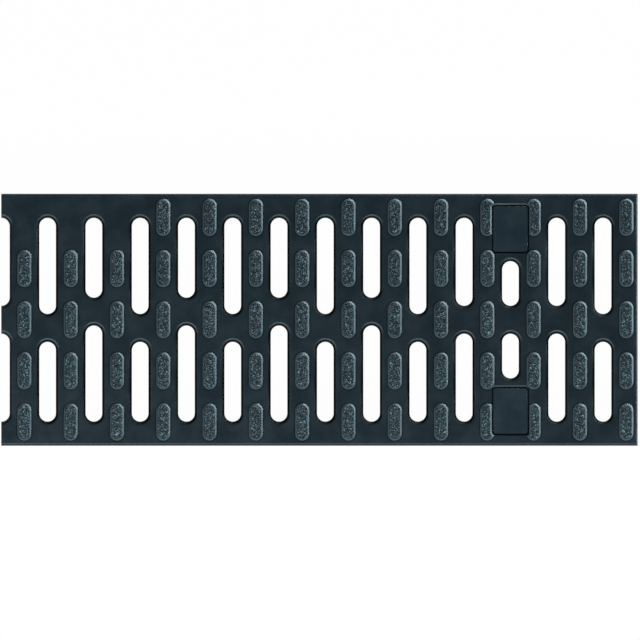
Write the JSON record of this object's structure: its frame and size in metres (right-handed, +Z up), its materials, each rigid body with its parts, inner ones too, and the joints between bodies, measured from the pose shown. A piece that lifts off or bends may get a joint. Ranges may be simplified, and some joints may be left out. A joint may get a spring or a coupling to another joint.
{
  "type": "channel drain grate",
  "caption": "Slotted cast iron grate for a drainage channel, with rough raised studs on top, cross ribs below, and a sprung bolt lock in each long edge.",
  "frame": {"origin": "under the middle of the grate, level with the flat lowest faces of the cross ribs", "axes": "+X along the channel towards the end with the plain land and the locks, +Y across it towards the bare edge, +Z up through the walking surface"},
  "size_m": [0.5, 0.198, 0.0395],
  "materials": {
    "coated_cast_iron": "dark blue-grey dip coating over a fine cast surface, satin",
    "coated_lock_casting": "the same dip coating on a smoother small casting, satin",
    "bolt_steel": "plain machined steel, lightly brushed",
    "spring_steel": "drawn spring wire",
    "zinc_plated_steel": "zinc plated, dull"
  },
  "bodies": {
    "grate_unit": {"grate": "coated_cast_iron", "lock_body_left": "coated_lock_casting", "lock_body_right": "coated_lock_casting", "lock_spring_left": "spring_steel", "lock_spring_right": "spring_steel", "keeper_left": "zinc_plated_steel", "keeper_right": "zinc_plated_steel", "keeper_screw_left": "zinc_plated_steel", "keeper_screw_right": "zinc_plated_steel"},
    "bolt_left": {"lock_bolt_left": "bolt_steel"},
    "bolt_right": {"lock_bolt_right": "bolt_steel"}
  },
  "joints": [
    {"name": "bolt_left_slide", "type": "slide", "parent": "grate_unit", "child": "bolt_left", "axis": [0, -1, 0], "range_m": [0, 0.007], "stiffness_N_per_m": 1200, "springref_m": -0.008, "deforming": ["lock_spring_left"]},
    {"name": "bolt_right_slide", "type": "slide", "parent": "grate_unit", "child": "bolt_right", "axis": [0, 1, 0], "range_m": [0, 0.007], "stiffness_N_per_m": 1200, "springref_m": -0.008, "deforming": ["lock_spring_right"]}
  ]
}
